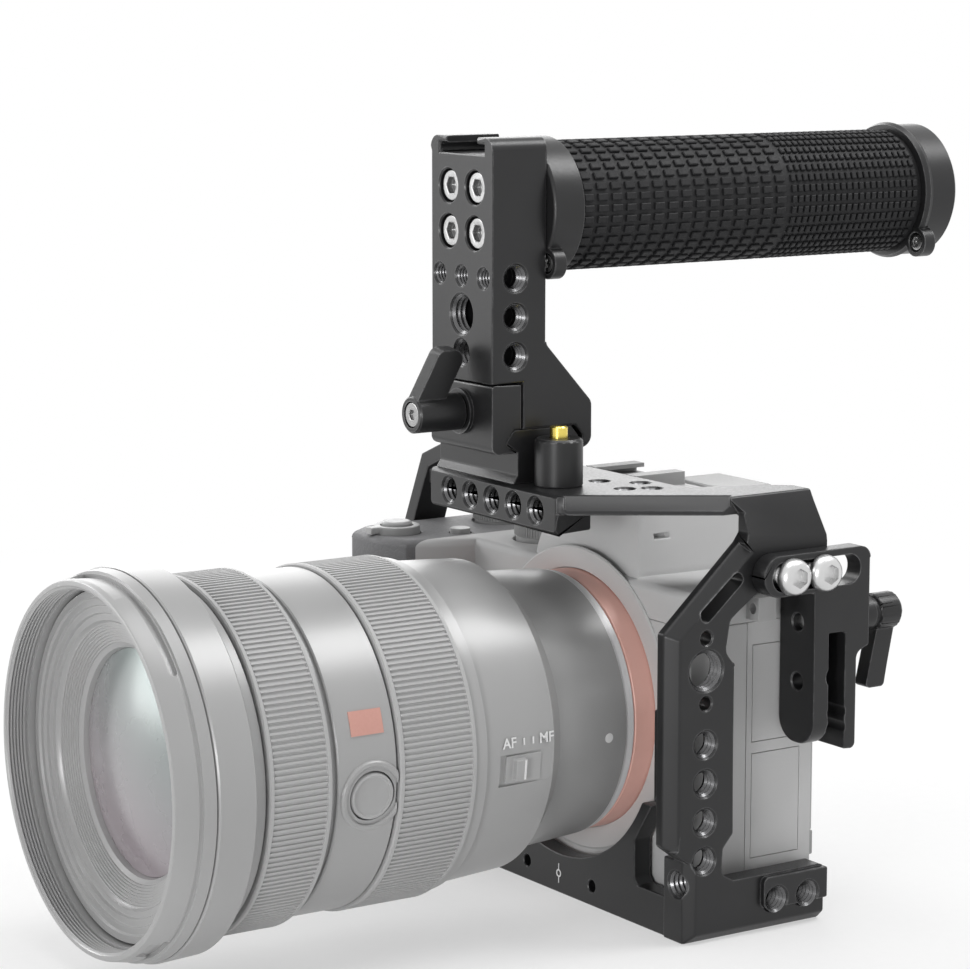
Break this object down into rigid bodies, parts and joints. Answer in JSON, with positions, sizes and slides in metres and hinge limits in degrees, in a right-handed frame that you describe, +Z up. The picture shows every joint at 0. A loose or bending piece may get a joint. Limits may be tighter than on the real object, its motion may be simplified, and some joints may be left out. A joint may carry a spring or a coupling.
{
  "type": "cinema camera rig",
  "caption": "Mirrorless camera with a wide zoom lens in a metal cage, carrying a top handle on a dovetail rail and a side cable clamp.",
  "frame": {"origin": "centre of the tripod socket in the cage base, on its underside", "axes": "+X towards the cable clamp side, +Y from the lens towards the screen, +Z up"},
  "size_m": [0.1461, 0.2424, 0.184],
  "materials": {
    "cage_metal": "dark anodised, fine bead-blasted",
    "grip_rubber": "moulded, matte",
    "screw_steel": "bright stainless",
    "pin_brass": "satin",
    "tube_metal": "drawn",
    "camera_grey": "fine-grained mid grey",
    "control_grey": "satin mid grey",
    "mount_orange": "muted orange anodised",
    "lens_grey": "satin mid grey",
    "ring_rubber": "ribbed mid grey",
    "lens_silver": "turned",
    "glass": "coated",
    "screen_black": "smooth",
    "sensor_glass": "filter glass",
    "board_green": "circuit board"
  },
  "bodies": {
    "rig": {"base_screw": "screw_steel", "battery": "screen_black", "cable_bracket_screws": "screw_steel", "cage_frame": "cage_metal", "cage_pads": "grip_rubber", "camera_front_shell": "camera_grey", "camera_rear_shell": "camera_grey", "camera_top_cover": "camera_grey", "display_hinge": "lens_silver", "eyecup": "ring_rubber", "eyepiece_glass": "glass", "hot_shoe": "lens_silver", "image_sensor": "sensor_glass", "lens_front_barrel": "lens_grey", "lens_middle_barrel": "lens_grey", "lens_mount_skirt": "lens_silver", "lens_rear_barrel": "lens_grey", "main_board": "board_green", "mount_bezel": "camera_grey", "mount_ring": "mount_orange", "nato_rail": "cage_metal", "port_door_high": "camera_grey", "rail_screws": "screw_steel", "rail_stop_housing": "cage_metal", "rear_glass": "glass", "strap_lugs": "lens_silver"},
    "handle": {"handle_post": "cage_metal", "front_collar": "cage_metal", "grip_tube": "tube_metal", "grip_sleeve": "grip_rubber", "rear_collar": "cage_metal", "post_screws": "screw_steel", "collar_screws": "screw_steel"},
    "jaw": {"clamp_jaw": "cage_metal", "lever_washer": "screw_steel"},
    "handle_lever": {"clamp_lever": "cage_metal", "clamp_bolt": "screw_steel", "lever_cap_screw": "screw_steel"},
    "stop_pin": {"rail_stop_pin": "pin_brass"},
    "bracket": {"cable_bracket": "cage_metal"},
    "bracket_lever": {"cable_lever": "cage_metal", "cable_clamp_bolt": "screw_steel"},
    "zoom": {"zoom_ring": "ring_rubber"},
    "focus": {"focus_ring": "ring_rubber"},
    "front_group": {"front_lens_group": "lens_grey", "front_glass": "glass"},
    "hold_button": {"focus_hold_button": "control_grey"},
    "mode_switch": {"focus_mode_switch": "control_grey"},
    "shutter": {"shutter_button": "control_grey"},
    "power": {"power_switch": "control_grey"},
    "mode": {"mode_dial": "control_grey"},
    "exposure": {"exposure_dial": "control_grey"},
    "custom": {"custom_button": "control_grey"},
    "menu": {"menu_button": "control_grey"},
    "stick": {"joystick": "control_grey"},
    "wheel": {"control_wheel": "control_grey"},
    "screen": {"display_panel": "screen_black"},
    "port_door": {"port_door_low": "camera_grey"},
    "card_hatch": {"card_door": "camera_grey"},
    "battery_hatch": {"battery_door": "camera_grey"}
  },
  "joints": [
    {"name": "handle_slide", "type": "slide", "parent": "rig", "child": "handle", "axis": [1, 0, 0], "range_m": [-0.008, 0]},
    {"name": "jaw_slide", "type": "slide", "parent": "handle", "child": "jaw", "axis": [0, 1, 0], "range_m": [-0.0015, 0]},
    {"name": "handle_lever_turn", "type": "hinge", "parent": "jaw", "child": "handle_lever", "pos_m": [-0.0065, -0.045, 0.1195], "axis": [0, 1, 0], "range_deg": [0, 540]},
    {"name": "stop_pin_press", "type": "slide", "parent": "rig", "child": "stop_pin", "axis": [0, 0, 1], "range_m": [-0.0035, 0], "stiffness_N_per_m": 200},
    {"name": "bracket_slide", "type": "slide", "parent": "rig", "child": "bracket", "axis": [0, 1, 0], "range_m": [-0.003, 0.002]},
    {"name": "bracket_lever_turn", "type": "hinge", "parent": "bracket", "child": "bracket_lever", "pos_m": [0.0515, 0.04, 0.0724], "axis": [0, 1, 0], "range_deg": [-30, 270]},
    {"name": "zoom_turn", "type": "hinge", "parent": "rig", "child": "zoom", "pos_m": [0, -0.074, 0.0481], "axis": [0, 1, 0], "range_deg": [0, 75]},
    {"name": "focus_turn", "type": "hinge", "parent": "rig", "child": "focus", "pos_m": [0, -0.109, 0.0481], "axis": [0, 1, 0], "continuous": true},
    {"name": "front_group_slide", "type": "slide", "parent": "rig", "child": "front_group", "axis": [0, 1, 0], "range_m": [0, 0.003]},
    {"name": "hold_button_press", "type": "slide", "parent": "rig", "child": "hold_button", "axis": [0.9938, 0, -0.1115], "range_m": [-0.0005, 0], "stiffness_N_per_m": 200},
    {"name": "mode_switch_slide", "type": "slide", "parent": "rig", "child": "mode_switch", "axis": [0, 1, 0], "range_m": [-0.0015, 0.003]},
    {"name": "shutter_press", "type": "slide", "parent": "rig", "child": "shutter", "axis": [0, 0, 1], "range_m": [-0.0015, 0], "stiffness_N_per_m": 200},
    {"name": "power_turn", "type": "hinge", "parent": "rig", "child": "power", "pos_m": [-0.065, -0.0195, 0.082], "axis": [0, 0, 1], "range_deg": [0, 40]},
    {"name": "mode_dial_turn", "type": "hinge", "parent": "rig", "child": "mode", "pos_m": [-0.036, 0.008, 0.084], "axis": [0, 0, 1], "continuous": true},
    {"name": "exposure_dial_turn", "type": "hinge", "parent": "rig", "child": "exposure", "pos_m": [-0.066, 0.014, 0.083], "axis": [0, 0, 1], "range_deg": [-90, 90]},
    {"name": "custom_press", "type": "slide", "parent": "rig", "child": "custom", "axis": [0, 0, 1], "range_m": [-0.0006, 0], "stiffness_N_per_m": 200},
    {"name": "menu_press", "type": "slide", "parent": "rig", "child": "menu", "axis": [0, 1, 0], "range_m": [-0.0008, 0], "stiffness_N_per_m": 200},
    {"name": "stick_tilt", "type": "hinge", "parent": "rig", "child": "stick", "pos_m": [-0.054, 0.0282, 0.054], "axis": [1, 0, 0], "range_deg": [-8, 8], "stiffness_Nm_per_rad": 0.05},
    {"name": "wheel_turn", "type": "hinge", "parent": "rig", "child": "wheel", "pos_m": [-0.058, 0.029, 0.032], "axis": [0, 1, 0], "continuous": true},
    {"name": "screen_swing", "type": "hinge", "parent": "rig", "child": "screen", "pos_m": [0.0385, 0.0308, 0.038], "axis": [0, 0, -1], "range_deg": [0, 90]},
    {"name": "port_door_swing", "type": "hinge", "parent": "rig", "child": "port_door", "pos_m": [0.0443, 0.0243, 0.028], "axis": [0, 0, 1], "range_deg": [0, 100]},
    {"name": "card_hatch_swing", "type": "hinge", "parent": "rig", "child": "card_hatch", "pos_m": [-0.079, 0.0092, 0.042], "axis": [0, 0, 1], "range_deg": [0, 60]},
    {"name": "battery_hatch_swing", "type": "hinge", "parent": "rig", "child": "battery_hatch", "pos_m": [-0.0516, -0.008, 0.0073], "axis": [0, -1, 0], "range_deg": [0, 90]}
  ],
  "couplings": [
    {"joint": "handle_lever_turn", "follows": "jaw_slide", "rad_per_m": -6283.1},
    {"joint": "front_group_slide", "follows": "zoom_turn", "m_per_rad": 0.0022}
  ]
}
